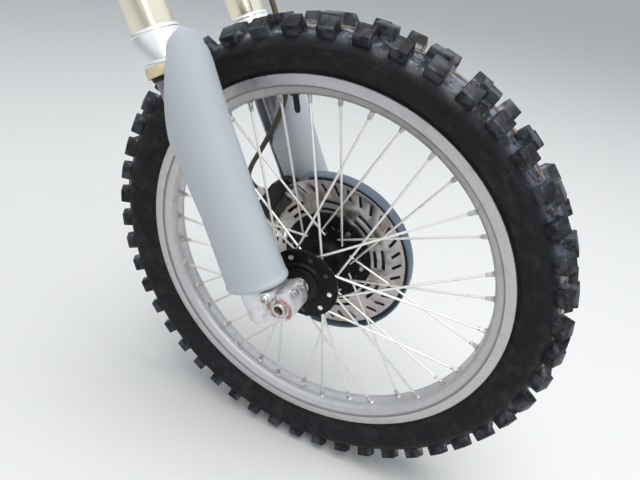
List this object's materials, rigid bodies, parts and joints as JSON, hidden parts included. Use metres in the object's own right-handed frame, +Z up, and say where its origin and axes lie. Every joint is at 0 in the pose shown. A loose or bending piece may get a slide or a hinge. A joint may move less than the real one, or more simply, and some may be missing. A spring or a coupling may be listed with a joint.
{
  "type": "motorcycle front fork with wheel",
  "caption": "Upside-down motocross front fork with steering stem, wire-spoked wheel, knobbly tyre and disc brake; the wheel spins on its axle.",
  "frame": {"origin": "middle of the lower bearing seat on the steering stem, on the steering axis", "axes": "+X forward, +Y to the rider's left, +Z up; the steering axis leans back 27 degrees, towards -X going up"},
  "size_m": [0.8221, 0.273, 1.1367],
  "materials": {
    "bare_alloy": "polished, weathered",
    "black_alloy": "black hub",
    "black_rubber": "matt",
    "black_steel": "black",
    "cast_alloy": "bare casting",
    "chrome": "hard chrome",
    "cover_plastic": "slate grey",
    "cream_plastic": "plain",
    "disc_steel": "ground",
    "gold_tube": "pale gold anodised, satin",
    "guard_plastic": "light grey, satin",
    "pad_compound": "friction compound",
    "rim_alloy": "satin silver",
    "spoke_steel": "bright",
    "tyre_rubber": "plain",
    "zinc_steel": "zinc plated"
  },
  "bodies": {
    "fork": {"axle_lug_left": "cast_alloy", "axle_lug_right": "cast_alloy", "axle_nut": "zinc_steel", "brake_caliper": "black_alloy", "brake_hose": "black_rubber", "brake_pads": "pad_compound", "caliper_bracket": "black_steel", "clamp_bolts": "zinc_steel", "disc_cover": "cover_plastic", "dust_wiper_left": "black_rubber", "dust_wiper_right": "black_rubber", "fork_guard_left": "guard_plastic", "fork_guard_right": "guard_plastic", "front_axle": "zinc_steel", "guard_screws_left": "zinc_steel", "guard_screws_right": "zinc_steel", "guide_ring_left": "cream_plastic", "guide_ring_right": "cream_plastic", "hose_clips": "black_steel", "hose_fittings": "zinc_steel", "inner_tube_left": "chrome", "inner_tube_right": "chrome", "lower_clamp": "bare_alloy", "outer_tube_left": "gold_tube", "outer_tube_right": "gold_tube", "pinch_bolts_left": "zinc_steel", "pinch_bolts_right": "zinc_steel", "steering_stem": "bare_alloy", "tube_cap_left": "black_alloy", "tube_cap_right": "black_alloy", "tube_collar_left": "bare_alloy", "tube_collar_right": "bare_alloy", "wheel_spacer_left": "bare_alloy", "wheel_spacer_right": "bare_alloy"},
    "wheel": {"tyre": "tyre_rubber", "rim": "rim_alloy", "hub": "black_alloy", "hub_seal_right": "black_rubber", "hub_seal_left": "black_rubber", "spokes_right": "spoke_steel", "spokes_left": "spoke_steel", "spoke_nipples": "zinc_steel", "brake_disc": "disc_steel", "disc_bolts": "zinc_steel", "tube_valve": "black_rubber"}
  },
  "joints": [
    {"name": "wheel_spin", "type": "hinge", "parent": "fork", "child": "wheel", "pos_m": [0.37172, 0, -0.59847], "axis": [0, 1, 0], "continuous": true}
  ]
}
